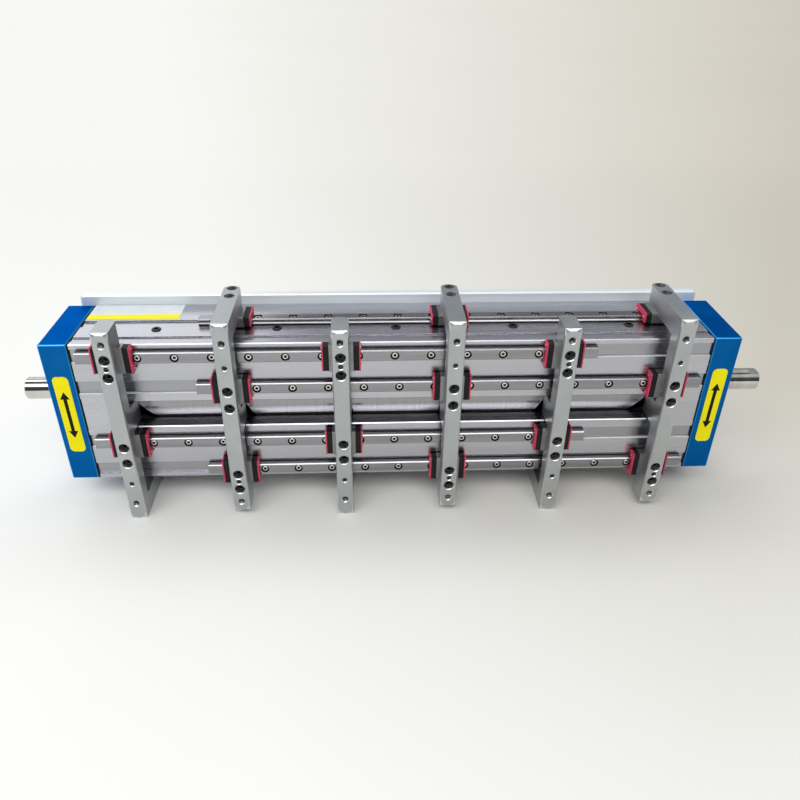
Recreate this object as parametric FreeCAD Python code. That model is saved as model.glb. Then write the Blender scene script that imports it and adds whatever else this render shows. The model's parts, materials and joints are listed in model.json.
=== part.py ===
import FreeCAD, Part
import math
import os

# Driving dimensions, in millimetres and degrees.
# X runs along the module, Y points back to the mounting face at Y = 0, Z points up.

# Sliders and their motion
bar_count = 6
open_pitch = 46.25
closed_pitch = 14.25
cam_angle = 300.0

# Miniature guide, size 5
rail_length = 215.0
rail_width = 5.0
rail_height = 3.6
rail_groove_height = 2.1
rail_groove_half = 0.7
rail_groove_depth = 0.45
rail_groove_radius = 0.4
rail_top_chamfer = 0.4
rail_hole_count = 14
rail_hole_pitch = 15.0
rail_bore_radius = 1.85
rail_bore_depth = 1.3
rail_screw_radius = 1.25
rail_screw_height = 0.9
rail_shift = 23.5
rail_relief = 0.6
carriage_length = 16.0
carriage_width = 12.0
guide_height = 6.0
carriage_lift = 1.5
carriage_corner = 0.5
cap_inset = 0.2
seal_inset = 0.1
block_length = 10.0
seal_thickness = 0.6
guide_gap = 0.25
outer_rail_z = 28.5
inner_rail_z = 13.5
carriage_screw_pitch = 8.0

# Main body and base plate
base_thickness = 3.25
base_length = 280.0
base_height = 76.6
base_corner = 1.5
base_chamfer = 0.6
body_length = 267.5
body_front_y = -41.9
body_half_height = 33.7
lip_back_y = -39.2
lip_chamfer = 0.4
top_groove_back_y = -35.0
top_groove_depth = 0.6
body_end_chamfer = 0.4
channel_depth = 1.0
side_rail_y = -22.5
side_seat_z = 32.9
window_length = 242.0
window_height = 12.4
window_corner = 3.0
window_depth = 12.0
window_bevel = 0.4
cavity_radius = 17.8
set_screw_pitch = 50.5
set_screw_y = -28.5
set_screw_radius = 2.0
set_screw_length = 4.0
set_screw_recess = 0.4

# End blocks and the gaskets behind them
block_thickness = 11.45
gasket_thickness = 0.5
gasket_inset = 0.2
gasket_bore_radius = 10.0
block_chamfer = 0.4
block_bore_gap = 1.0

# Cam drum, shaft and bearings
axis_y = -18.3
drum_radius = 16.8
drum_length = 260.0
drum_chamfer = 0.6
drum_gap = 0.4
drum_end_gap = 1.5
groove_depth = 4.5
groove_clearance = 0.3
shaft_radius = 5.0
shaft_left_x = -165.9
shaft_right_x = 170.9
shaft_chamfer = 0.6
shaft_flat_length = 5.0
shaft_flat_depth = 1.0
shaft_fit = 0.02
undercut_width = 1.0
undercut_depth = 0.25
undercut_gap = 0.2
bearing_radius = 11.0
bearing_width = 6.0
inner_ring_wall = 1.75
outer_ring_wall = 1.9
shield_thickness = 0.4
shield_recess = 0.3
shield_gap = 0.3
shield_overlap = 0.4
drum_pin_radius = 1.25
drum_pin_x = 127.6
drum_pin_recess = 1.0

# Slider bar
bar_width = 7.0
bar_thickness = 7.0
bar_top_z = 44.5
leg_end_z = 47.9
leg_thickness = 9.0
leg_back_y = -16.1
leg_end_radius = 2.8
nose_back_y = -40.6
nose_bottom_z = 34.8
tongue_half_height = 5.5
tongue_back_y = -35.6
front_bevel = 0.8
front_side_bevel = 0.35
front_corner = 2.8
bar_edge_radius = 0.2
leg_root_radius = 1.5
tongue_root_radius = 1.0
tongue_end_radius = 0.6
nose_root_radius = 0.8
nose_end_radius = 2.8
hole_chamfer = 0.25
tapped_hole_z = 39.3
tapped_hole_radius = 1.45
tapped_hole_depth = 7.5
dowel_hole_radius = 1.05
small_hole_depth = 5.0
screw_bore_radius = 2.2
screw_seat = 3.0
screw_head_radius = 1.9
screw_head_height = 2.0
screw_shank_radius = 1.0
screw_thread_depth = 2.0
follower_radius = 3.0
follower_tip_gap = 0.5
follower_chamfer = 0.4

# Fasteners of the frame
block_screw_radius = 2.0
block_screw_y = (-35.5, -8.0)
block_screw_z = 24.5
block_screw_thread = 10.0
block_screw_head_radius = 3.5
block_screw_head_height = 4.0
block_screw_bore = 5.0
base_screw_radius = 2.0
base_screw_x = (-110.0, -37.0, 37.0, 110.0)
base_screw_z = 28.0
base_screw_length = 12.0
base_screw_recess = 0.1
mount_hole_radius = 2.1
mount_hole_x = 90.0
mount_hole_z = 22.0
mount_hole_depth = 12.0

# How far a cutter runs on past a surface, and the margin for picking edges by their place
cutter_overrun = 0.6
edge_margin = 0.1

# Worked out from the values above
rail_base_y = body_front_y + channel_depth
bar_back_y = rail_base_y - guide_height
bar_front_y = bar_back_y - bar_thickness
leg_inner_z = leg_end_z - leg_thickness
body_end_x = body_length / 2
block_start_x = body_end_x + gasket_thickness
block_end_x = block_start_x + block_thickness
window_half = window_height / 2
groove_floor = drum_radius - groove_depth

Vec = FreeCAD.Vector
along_x = Vec(1, 0, 0)
along_y = Vec(0, 1, 0)
along_z = Vec(0, 0, 1)
origin = Vec(0, 0, 0)


def save(name, *solids):
    shape = solids[0] if len(solids) == 1 else Part.makeCompound(list(solids))
    shape.exportStep("parts/" + name + ".step")


def moved(shape, x=0.0, y=0.0, z=0.0):
    copy = shape.copy()
    copy.translate(Vec(x, y, z))
    return copy


def turned(shape, axis, angle):
    copy = shape.copy()
    copy.rotate(origin, axis, angle)
    return copy


def box(x0, x1, y0, y1, z0, z1):
    return Part.makeBox(x1 - x0, y1 - y0, z1 - z0, Vec(x0, y0, z0))


def rod(start, direction, radius, length):
    return Part.makeCylinder(radius, length, start, direction)


def round_edges(solid):
    return [edge for edge in solid.Edges if edge.Curve.TypeId == "Part::GeomCircle"]


def outline(corners, place):
    # Closed outline from (a, b, radius) corners, each rounded by a tangent arc of its radius.
    ends = []
    count = len(corners)
    for i in range(count):
        a, b, radius = corners[i]
        here = Vec(a, b, 0)
        before = Vec(*corners[i - 1][:2], 0) - here
        after = Vec(*corners[(i + 1) % count][:2], 0) - here
        before.normalize()
        after.normalize()
        half = before.getAngle(after) / 2
        reach = radius / math.tan(half)
        middle = before + after
        middle.normalize()
        crown = here + middle * (radius / math.sin(half) - radius)
        ends.append((here + before * reach, crown, here + after * reach, radius))
    edges = []
    for i in range(count):
        start, crown, stop, radius = ends[i]
        if radius:
            edges.append(Part.Arc(place(start), place(crown), place(stop)).toShape())
        following = ends[(i + 1) % count][0]
        if (following - stop).Length > 1e-6:
            edges.append(Part.LineSegment(place(stop), place(following)).toShape())
    return Part.Wire(edges)


def prism_x(corners, x0, x1):
    # Outline in (Y, Z), drawn out along X.
    wire = outline(corners, lambda p: Vec(x0, p.x, p.y))
    return Part.Face(wire).extrude(Vec(x1 - x0, 0, 0))


def rounded_rectangle(width, height, radius, place):
    half_width = width / 2
    half_height = height / 2
    corners = [(-half_width, -half_height, radius), (half_width, -half_height, radius),
               (half_width, half_height, radius), (-half_width, half_height, radius)]
    return outline(corners, place)


# Guides, drawn flat with the rail's base at Z = 0 and then seated on the body

def rail_profile():
    half = rail_width / 2
    right = [(half, 0, 0), (half, rail_groove_height - rail_groove_half, 0),
             (half - rail_groove_depth, rail_groove_height, rail_groove_radius),
             (half, rail_groove_height + rail_groove_half, 0), (half, rail_height - rail_top_chamfer, 0),
             (half - rail_top_chamfer, rail_height, 0)]
    return right + [(-a, b, radius) for a, b, radius in reversed(right)]


def rail_hole_places():
    first = -rail_hole_pitch * (rail_hole_count - 1) / 2
    return [first + rail_hole_pitch * i for i in range(rail_hole_count)]


def rail():
    solid = prism_x(rail_profile(), -rail_length / 2, rail_length / 2)
    floor = rail_height - rail_bore_depth
    for x in rail_hole_places():
        solid = solid.cut(rod(Vec(x, 0, floor), along_z, rail_bore_radius, rail_bore_depth))
    return solid


def rail_screws():
    floor = rail_height - rail_bore_depth
    return [rod(Vec(x, 0, floor), along_z, rail_screw_radius, rail_screw_height) for x in rail_hole_places()]


def carriage_section(inset):
    # Inverted U that straddles the rail.
    half = carriage_width / 2 - inset
    top = guide_height - inset
    slot = rail_width / 2 + guide_gap
    roof = rail_height + guide_gap
    lift = carriage_lift + inset
    return [(-half, lift, 0), (-slot, lift, 0), (-slot, roof, 0), (slot, roof, 0), (slot, lift, 0),
            (half, lift, 0), (half, top, carriage_corner), (-half, top, carriage_corner)]


def carriage_block():
    solid = prism_x(carriage_section(0), -block_length / 2, block_length / 2)
    for side in (-1, 1):
        hole = Vec(0, side * carriage_screw_pitch / 2, guide_height - screw_thread_depth)
        solid = solid.cut(rod(hole, along_z, screw_shank_radius, screw_thread_depth))
    return solid


def carriage_caps():
    seal_x = carriage_length / 2 - seal_thickness
    cap = prism_x(carriage_section(cap_inset), block_length / 2, seal_x)
    return [cap, turned(cap, along_z, 180)]


def carriage_seals():
    seal_x = carriage_length / 2 - seal_thickness
    seal = prism_x(carriage_section(seal_inset), seal_x, carriage_length / 2)
    return [seal, turned(seal, along_z, 180)]


def carriage_screws():
    screws = []
    for side in (-1, 1):
        place = Vec(0, side * carriage_screw_pitch / 2, guide_height - screw_thread_depth)
        shank = rod(place, along_z, screw_shank_radius, screw_thread_depth + screw_seat)
        head_place = place + along_z * (screw_thread_depth + screw_seat)
        screws.append(shank.fuse(rod(head_place, along_z, screw_head_radius, screw_head_height)))
    return screws


def seat_front(solids, z):
    return [moved(turned(solid, along_x, 90), 0, rail_base_y, z) for solid in solids]


def seat_below(solids):
    return [moved(turned(solid, along_x, 180), 0, side_rail_y, -side_seat_z) for solid in solids]


def on_three_rails(solids):
    # A bar with its leg below rides on the upper rail of each front pair and on the lower side rail.
    return seat_front(solids, outer_rail_z) + seat_front(solids, -inner_rail_z) + seat_below(solids)


# Slider bar with its leg below, centred at X = 0

def bar_profile():
    body_y = bar_front_y + front_bevel
    return [(body_y, -leg_end_z, 0), (leg_back_y, -leg_end_z, 0), (leg_back_y, -leg_inner_z, 0),
            (bar_back_y, -leg_inner_z, leg_root_radius),
            (bar_back_y, -tongue_half_height, tongue_root_radius),
            (tongue_back_y, -tongue_half_height, tongue_end_radius),
            (tongue_back_y, tongue_half_height, tongue_end_radius),
            (bar_back_y, tongue_half_height, tongue_root_radius),
            (bar_back_y, nose_bottom_z, nose_root_radius), (nose_back_y, nose_bottom_z, 0),
            (nose_back_y, bar_top_z, 0), (body_y, bar_top_z, 0)]


def bar_front():
    # Bevelled front face whose corners sweep round inside the square end of the bar.
    height = leg_end_z + bar_top_z
    middle = (bar_top_z - leg_end_z) / 2
    back_y = bar_front_y + front_bevel
    square = rounded_rectangle(bar_width, height, bar_edge_radius,
                               lambda p: Vec(p.x, back_y, p.y + middle))
    face = rounded_rectangle(bar_width - 2 * front_side_bevel, height - 2 * front_bevel, front_corner,
                             lambda p: Vec(p.x, bar_front_y, p.y + middle))
    return Part.makeLoft([square, face], True, True)


def front_bore(z, radius, depth):
    # Hole in the front face with a small countersink at its mouth.
    mouth = Vec(0, bar_front_y, z)
    sink = Part.makeCone(radius + hole_chamfer, radius, hole_chamfer, mouth, along_y)
    return rod(mouth, along_y, radius, depth).fuse(sink)


def upright_edges(solid, y, height):
    # Vertical edges longer than half the given height on the face that looks back at Y = y.
    return [edge for edge in solid.Edges
            if abs(edge.BoundBox.YMin - y) < edge_margin and abs(edge.BoundBox.YMax - y) < edge_margin
            and edge.BoundBox.ZLength > height / 2]


def screw_places():
    half = carriage_screw_pitch / 2
    return [middle + side * half for middle in (outer_rail_z, -inner_rail_z) for side in (-1, 1)]


def slider_bar():
    solid = prism_x(bar_profile(), -bar_width / 2, bar_width / 2).fuse(bar_front()).removeSplitter()
    # The free ends of the leg and of the nose are rounded in plan.
    solid = solid.makeFillet(leg_end_radius, upright_edges(solid, leg_back_y, leg_thickness))
    solid = solid.makeFillet(nose_end_radius, upright_edges(solid, nose_back_y, bar_top_z - nose_bottom_z))
    for z in (tapped_hole_z, -tapped_hole_z):
        solid = solid.cut(front_bore(z, tapped_hole_radius, tapped_hole_depth))
    for z in (outer_rail_z, -outer_rail_z):
        solid = solid.cut(front_bore(z, dowel_hole_radius, small_hole_depth))
    for z in screw_places():
        solid = solid.cut(front_bore(z, screw_bore_radius, bar_thickness - screw_seat))
        solid = solid.cut(rod(Vec(0, bar_front_y, z), along_y, screw_shank_radius, bar_thickness))
    for side in (-1, 1):
        y = side_rail_y + side * carriage_screw_pitch / 2
        place = Vec(0, y, -leg_end_z)
        solid = solid.cut(rod(place, along_z, screw_bore_radius, leg_thickness - screw_seat))
        solid = solid.cut(rod(place, along_z, screw_shank_radius, leg_thickness))
    socket = rod(Vec(0, tongue_back_y, 0), along_y * -1, follower_radius, tongue_back_y - bar_back_y)
    return solid.cut(socket)


def cam_follower():
    tip_y = axis_y - groove_floor - follower_tip_gap
    start = Vec(0, bar_back_y, 0)
    pin = rod(start, along_y, follower_radius, tip_y - bar_back_y)
    rim = [edge for edge in pin.Edges if edge.BoundBox.YMin > tip_y - edge_margin]
    return pin.makeChamfer(follower_chamfer, rim)


def bar_x(number):
    return (number - (bar_count + 1) / 2) * open_pitch


def bar_travel(number):
    return -(number - (bar_count + 1) / 2) * (open_pitch - closed_pitch)


def save_bars():
    pieces = {
        "slider_bar": [slider_bar()],
        "cam_follower": [cam_follower()],
        "carriage_blocks": on_three_rails([carriage_block()]),
        "carriage_caps": on_three_rails(carriage_caps()),
        "carriage_seals": on_three_rails(carriage_seals()),
        "carriage_screws": on_three_rails(carriage_screws()),
    }
    for number in range(1, bar_count + 1):
        leg_above = number % 2 == 0
        for name, solids in pieces.items():
            placed = [moved(turned(solid, along_y, 180) if leg_above else solid, bar_x(number))
                      for solid in solids]
            save("%s_%d" % (name, number), *placed)


# Cam drum: each groove is a screw-swept channel, as wide across as the follower that runs in it

def groove_slope(radius, lead):
    return math.atan2(lead, 2 * math.pi * radius)


def groove_cutter(number):
    # About local Z, starting on local +X; angle zero is where the follower stands when open.
    # The channel runs on past both stops by the follower's own half width.
    top = drum_radius + cutter_overrun
    lead = bar_travel(number) * 360 / cam_angle
    mill_radius = follower_radius + groove_clearance
    wide = mill_radius / math.cos(groove_slope(groove_floor, lead))
    narrow = mill_radius / math.cos(groove_slope(drum_radius, lead))
    overrun = math.degrees(math.atan(mill_radius / groove_floor))
    path = Part.makeHelix(lead, lead * (cam_angle + 2 * overrun) / 360, (groove_floor + top) / 2)
    profile = Part.makePolygon([Vec(groove_floor, 0, -wide), Vec(top, 0, -narrow), Vec(top, 0, narrow),
                                Vec(groove_floor, 0, wide), Vec(groove_floor, 0, -wide)])
    channel = Part.Wire(path.Edges).makePipeShell([profile], True, True)
    channel.rotate(origin, along_z, -overrun)
    channel.translate(Vec(0, 0, -lead * overrun / 360))
    return channel


def onto_drum(solid, x):
    # Local Z to X and local X to the front, so that the angle grows from the front downwards.
    place = FreeCAD.Matrix(0, 0, 1, x, -1, 0, 0, axis_y, 0, -1, 0, 0, 0, 0, 0, 1)
    return solid.transformed(place)


def cam_drum():
    half = drum_length / 2
    drum = rod(Vec(-half, axis_y, 0), along_x, drum_radius, drum_length)
    drum = drum.makeChamfer(drum_chamfer, round_edges(drum))
    drum = drum.cut(rod(Vec(-half, axis_y, 0), along_x, shaft_radius + shaft_fit, drum_length))
    for pin in drum_pins():
        drum = drum.cut(pin)
    for number in range(1, bar_count // 2 + 1):
        left = onto_drum(groove_cutter(number), bar_x(number))
        drum = drum.cut(left).cut(left.mirror(origin, along_x))
    return drum


def drum_pins():
    length = 2 * (drum_radius - drum_pin_recess)
    return [rod(Vec(x, axis_y, -length / 2), along_z, drum_pin_radius, length)
            for x in (-drum_pin_x, drum_pin_x)]


def drive_shaft():
    length = shaft_right_x - shaft_left_x
    shaft = rod(Vec(shaft_left_x, axis_y, 0), along_x, shaft_radius, length)
    shaft = shaft.makeChamfer(shaft_chamfer, round_edges(shaft))
    flat = box(shaft_right_x - shaft_flat_length, shaft_right_x + cutter_overrun, axis_y - shaft_radius,
               axis_y + shaft_radius, shaft_radius - shaft_flat_depth, shaft_radius + cutter_overrun)
    shaft = shaft.cut(flat)
    # Grinding undercuts part the bearing journals from the free ends.
    undercut_x = block_end_x + undercut_gap
    for x in (-undercut_x - undercut_width, undercut_x):
        floor = shaft_radius - undercut_depth
        shaft = shaft.cut(ring(x, floor, shaft_radius + cutter_overrun, undercut_width))
    for pin in drum_pins():
        shaft = shaft.cut(pin)
    return shaft


def ring(x, inner, outer, width):
    start = Vec(x, axis_y, 0)
    return rod(start, along_x, outer, width).cut(rod(start, along_x, inner, width))


def bearing_rings(x):
    # Shielded ball bearing: the shields ride on the outer ring and clear the inner ring.
    shoulder = shaft_radius + inner_ring_wall
    race = bearing_radius - outer_ring_wall
    inner_ring = ring(x, shaft_radius + shaft_fit, shoulder, bearing_width)
    outer_ring = ring(x, race, bearing_radius, bearing_width)
    for shield_x in (x + shield_recess, x + bearing_width - shield_recess - shield_thickness):
        shield = ring(shield_x, shoulder + shield_gap, race + shield_overlap, shield_thickness)
        outer_ring = outer_ring.fuse(shield)
    return inner_ring, outer_ring.removeSplitter()


# Frame

def half_section():
    # Half outline above the axis, from the back to the middle of the front face.
    channel = rail_width / 2 + rail_relief
    groove_floor_z = body_half_height - top_groove_depth
    points = [(-base_thickness, body_half_height), (side_rail_y + channel, body_half_height),
              (side_rail_y + channel, side_seat_z), (side_rail_y - channel, side_seat_z),
              (side_rail_y - channel, body_half_height), (top_groove_back_y, body_half_height),
              (top_groove_back_y, groove_floor_z), (lip_back_y, groove_floor_z),
              (lip_back_y, body_half_height), (body_front_y + lip_chamfer, body_half_height),
              (body_front_y, body_half_height - lip_chamfer)]
    for z in (outer_rail_z, inner_rail_z):
        points += [(body_front_y, z + channel), (rail_base_y, z + channel),
                   (rail_base_y, z - channel), (body_front_y, z - channel)]
    return points


def body_section():
    upper = half_section()
    lower = [(y, -z) for y, z in reversed(upper)]
    return [(-base_thickness, cavity_radius, 0)] + [(y, z, 0) for y, z in upper + lower] + [
        (-base_thickness, -cavity_radius, 0), (axis_y - cavity_radius, -cavity_radius, cavity_radius),
        (axis_y - cavity_radius, cavity_radius, cavity_radius)]


def window_cutter():
    # Long slot for the followers, with a small bevel round its front edge.
    def at(y):
        return lambda p: Vec(p.x, y, p.y)

    slot = rounded_rectangle(window_length, window_height, window_corner, at(body_front_y))
    neck = rounded_rectangle(window_length, window_height, window_corner, at(body_front_y + window_bevel))
    mouth = rounded_rectangle(window_length + 2 * window_bevel, window_height + 2 * window_bevel,
                              window_corner + window_bevel, at(body_front_y))
    return Part.Face(slot).extrude(along_y * window_depth), Part.makeLoft([mouth, neck], True, True)


def set_screws():
    screws = []
    for i in range(-2, 3):
        for side in (-1, 1):
            start = Vec(i * set_screw_pitch, set_screw_y, side * (body_half_height - set_screw_recess))
            screws.append(rod(start, along_z * -side, set_screw_radius, set_screw_length))
    return screws


def mount_holes():
    return [rod(Vec(x, 0, z), along_y * -1, mount_hole_radius, mount_hole_depth)
            for x in (-mount_hole_x, mount_hole_x) for z in (-mount_hole_z, mount_hole_z)]


def base_screws():
    # Countersunk screws, flush with the back of the base plate.
    screws = []
    for x in base_screw_x:
        for z in (-base_screw_z, base_screw_z):
            head = Part.makeCone(2 * base_screw_radius, base_screw_radius, base_screw_radius,
                                 Vec(x, -base_screw_recess, z), along_y * -1)
            shank = rod(Vec(x, -base_screw_recess, z), along_y * -1, base_screw_radius, base_screw_length)
            screws.append(head.fuse(shank).removeSplitter())
    return screws


def block_screws():
    # Cap screws through the end blocks into the ends of the body.
    screws = []
    seat = block_end_x - block_screw_bore
    for side in (-1, 1):
        inward = along_x * -side
        for y in block_screw_y:
            for z in (-block_screw_z, block_screw_z):
                seat_place = Vec(side * seat, y, z)
                shank = rod(seat_place, inward, block_screw_radius, seat - body_end_x + block_screw_thread)
                head = rod(seat_place, inward * -1, block_screw_head_radius, block_screw_head_height)
                screws.append(head.fuse(shank))
    return screws


def end_bevels():
    # Wedges that bevel the upper, lower and front edges at both ends of the body.
    def wedge(place, length):
        corners = [(body_end_x, 0, 0), (body_end_x, -body_end_chamfer, 0),
                   (body_end_x - body_end_chamfer, 0, 0)]
        return Part.Face(outline(corners, place)).extrude(length)

    upper = wedge(lambda p: Vec(p.x, body_front_y, body_half_height + p.y), Vec(0, -body_front_y, 0))
    front = wedge(lambda p: Vec(p.x, body_front_y - p.y, -body_half_height), Vec(0, 0, 2 * body_half_height))
    right = [upper, upper.mirror(origin, along_z), front]
    return right + [solid.mirror(origin, along_x) for solid in right]


def main_body():
    body = prism_x(body_section(), -body_end_x, body_end_x)
    for wedge in end_bevels():
        body = body.cut(wedge)
    for cutter in window_cutter():
        body = body.cut(cutter)
    for screw in set_screws():
        mouth = moved(screw, 0, 0, math.copysign(set_screw_recess, screw.BoundBox.Center.z))
        body = body.cut(mouth).cut(screw)
    for solid in mount_holes() + base_screws() + block_screws():
        body = body.cut(solid)
    return body


def base_plate():
    plate = box(-base_length / 2, base_length / 2, -base_thickness, 0, -base_height / 2, base_height / 2)
    corners = [edge for edge in plate.Edges if edge.BoundBox.YLength > base_thickness / 2]
    plate = plate.makeFillet(base_corner, corners)
    rim = [edge for edge in plate.Edges if edge.BoundBox.YMax < edge_margin - base_thickness]
    plate = plate.makeChamfer(base_chamfer, rim)
    for solid in mount_holes():
        plate = plate.cut(solid)
    for screw in base_screws():
        plate = plate.cut(screw).cut(moved(screw, 0, base_screw_recess))
    # A shallow hollow clears the back of the drum.
    hollow_length = drum_length + 2 * drum_end_gap
    return plate.cut(rod(Vec(-hollow_length / 2, axis_y, 0), along_x, drum_radius + drum_gap, hollow_length))


def end_block(side):
    x0, x1 = sorted((side * block_start_x, side * block_end_x))
    block = box(x0, x1, body_front_y, -base_thickness, -body_half_height, body_half_height)
    block = block.makeChamfer(block_chamfer, block.Edges)
    inner = Vec(side * block_start_x, axis_y, 0)
    block = block.cut(rod(inner, along_x * side, bearing_radius, bearing_width))
    block = block.cut(rod(inner, along_x * side, shaft_radius + block_bore_gap, block_thickness))
    for screw in block_screws():
        mouth = moved(screw, side * (block_screw_bore - block_screw_head_height + cutter_overrun))
        block = block.cut(screw).cut(mouth)
    return block


def end_gasket(side):
    # Thin seal between the body and its end block, open round the bearing.
    x0, x1 = sorted((side * body_end_x, side * block_start_x))
    edge_z = body_half_height - gasket_inset
    gasket = box(x0, x1, body_front_y + gasket_inset, -base_thickness - gasket_inset, -edge_z, edge_z)
    gasket = gasket.cut(rod(Vec(x0, axis_y, 0), along_x, gasket_bore_radius, gasket_thickness))
    for screw in block_screws():
        gasket = gasket.cut(screw)
    return gasket


def save_frame():
    save("main_body", main_body())
    save("base_plate", base_plate())
    save("end_block_left", end_block(-1))
    save("end_block_right", end_block(1))
    save("end_gasket_left", end_gasket(-1))
    save("end_gasket_right", end_gasket(1))
    upper = [moved(rail(), -rail_shift)]
    heads = [moved(screw, -rail_shift) for screw in rail_screws()]
    # The second set of rails is the first turned over end for end.
    for name, z in (("front_rail_1", outer_rail_z), ("front_rail_3", -inner_rail_z)):
        save(name, *seat_front(upper, z))
    for name, z in (("front_rail_2", -inner_rail_z), ("front_rail_4", outer_rail_z)):
        save(name, *[turned(solid, along_y, 180) for solid in seat_front(upper, z)])
    save("bottom_rail", *seat_below(upper))
    save("top_rail", *[turned(solid, along_y, 180) for solid in seat_below(upper)])
    front_heads = seat_front(heads, outer_rail_z) + seat_front(heads, -inner_rail_z)
    side_heads = seat_below(heads)
    save("front_rail_screws", *front_heads, *[turned(solid, along_y, 180) for solid in front_heads])
    save("side_rail_screws", *side_heads, *[turned(solid, along_y, 180) for solid in side_heads])
    save("set_screws", *set_screws())
    save("base_screws", *base_screws())
    save("end_block_screws", *block_screws())


def save_cam():
    save("cam_drum", cam_drum())
    save("drive_shaft", drive_shaft())
    save("drum_pins", *drum_pins())
    for name, x in (("left", -block_start_x - bearing_width), ("right", block_start_x)):
        inner_ring, outer_ring = bearing_rings(x)
        save("bearing_inner_" + name, inner_ring)
        save("bearing_outer_" + name, outer_ring)


os.makedirs("parts", exist_ok=True)
save_frame()
save_cam()
save_bars()
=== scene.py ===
import json
import math

import bmesh
import bpy
from mathutils import Matrix, Vector


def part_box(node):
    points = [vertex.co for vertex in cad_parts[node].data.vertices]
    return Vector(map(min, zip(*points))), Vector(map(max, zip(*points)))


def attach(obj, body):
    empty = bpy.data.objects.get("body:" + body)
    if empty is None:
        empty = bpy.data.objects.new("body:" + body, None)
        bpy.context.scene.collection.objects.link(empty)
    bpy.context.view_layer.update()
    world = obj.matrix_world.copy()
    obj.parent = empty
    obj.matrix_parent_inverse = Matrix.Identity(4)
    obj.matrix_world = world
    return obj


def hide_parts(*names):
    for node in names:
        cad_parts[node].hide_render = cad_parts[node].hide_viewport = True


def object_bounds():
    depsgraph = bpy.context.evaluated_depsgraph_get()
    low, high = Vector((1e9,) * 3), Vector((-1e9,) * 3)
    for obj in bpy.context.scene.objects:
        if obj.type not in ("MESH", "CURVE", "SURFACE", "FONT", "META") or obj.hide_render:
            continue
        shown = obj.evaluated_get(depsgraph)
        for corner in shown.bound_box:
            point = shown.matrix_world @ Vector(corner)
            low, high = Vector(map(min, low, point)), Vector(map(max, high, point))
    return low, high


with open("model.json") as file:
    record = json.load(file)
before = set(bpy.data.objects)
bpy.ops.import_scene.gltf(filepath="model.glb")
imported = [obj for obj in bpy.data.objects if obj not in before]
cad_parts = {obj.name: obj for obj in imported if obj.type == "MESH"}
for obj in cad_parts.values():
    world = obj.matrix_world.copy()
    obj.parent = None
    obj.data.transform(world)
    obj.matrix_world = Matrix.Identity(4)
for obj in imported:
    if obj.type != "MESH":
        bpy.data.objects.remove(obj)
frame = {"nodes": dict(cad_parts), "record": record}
nodes = frame["nodes"]
cadLow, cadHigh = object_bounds()
mm = 0.001
frontRails = range(1, 5)
sliders = range(1, 7)
print("frame loaded:", len(nodes), "nodes")


# Helpers for node trees and pieces

def addNode(tree, kind, inputs=None, **settings):
    node = tree.nodes.new(kind)
    for key, value in settings.items():
        setattr(node, key, value)
    for key, value in (inputs or {}).items():
        if isinstance(value, bpy.types.NodeSocket):
            tree.links.new(value, node.inputs[key])
        else:
            node.inputs[key].default_value = value
    return node


def mathNode(tree, operation, first, second=0.0):
    return addNode(tree, "ShaderNodeMath", {0: first, 1: second}, operation=operation).outputs["Value"]


def between(tree, value, low, high, start=0.3, stop=0.7):
    # Runs from low to high while the value runs from start to stop.
    span = addNode(tree, "ShaderNodeMapRange", {"Value": value, "From Min": start, "From Max": stop,
                                                "To Min": low, "To Max": high})
    return span.outputs["Result"]


def spread(tree, value, low, high, start=0.3, stop=0.7):
    # The same between two colours.
    ramp = addNode(tree, "ShaderNodeValToRGB", {"Fac": value})
    ramp.color_ramp.elements[0].position = start
    ramp.color_ramp.elements[0].color = (*low, 1)
    ramp.color_ramp.elements[1].position = stop
    ramp.color_ramp.elements[1].color = (*high, 1)
    return ramp.outputs["Color"]


def mixColours(tree, share, first, second):
    # Sockets 6 and 7 are the node's two colours, and its output 2 is the mixed one.
    mix = addNode(tree, "ShaderNodeMix", {"Factor": share, 6: first, 7: second}, data_type="RGBA")
    return mix.outputs[2]


def noiseField(tree, scale, detail, sharpness=0.55):
    where = addNode(tree, "ShaderNodeTexCoord")
    mapped = addNode(tree, "ShaderNodeMapping", {"Vector": where.outputs["Object"], "Scale": scale})
    noise = addNode(tree, "ShaderNodeTexNoise", {"Vector": mapped.outputs["Vector"], "Scale": 1.0,
                                                 "Detail": detail, "Roughness": sharpness})
    return noise.outputs["Fac"]


def objectPlace(tree):
    where = addNode(tree, "ShaderNodeTexCoord").outputs["Object"]
    return addNode(tree, "ShaderNodeSeparateXYZ", {"Vector": where}).outputs


def startMaterial(name):
    material = bpy.data.materials.new(name)
    material.use_nodes = True
    tree = material.node_tree
    return material, tree, tree.nodes["Principled BSDF"]


def addPiece(name, mesh):
    piece = bpy.data.objects.new(name, mesh)
    bpy.context.scene.collection.objects.link(piece)
    return piece


# Camera, floor and light

photoCamera = {
    "place": (-0.012915, -0.31146, 0.172695),
    "right": (0.9989, -0.0459, 0.0118),
    "up": (0.0142, 0.5268, 0.8499),
    "lens": 33.06,
    "sensor": 36.0,
    "nearest": 0.01,
}


def aimCamera(settings):
    right = Vector(settings["right"]).normalized()
    up = Vector(settings["up"])
    up = (up - right * up.dot(right)).normalized()
    turn = Matrix((right, up, right.cross(up))).transposed()
    data = bpy.data.cameras.new("photoCamera")
    data.sensor_fit = "HORIZONTAL"
    data.sensor_width = settings["sensor"]
    data.lens = settings["lens"]
    data.clip_start = settings["nearest"]
    camera = bpy.data.objects.new("photoCamera", data)
    camera.matrix_world = Matrix.Translation(settings["place"]) @ turn.to_4x4()
    bpy.context.scene.collection.objects.link(camera)
    bpy.context.scene.camera = camera


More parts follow.
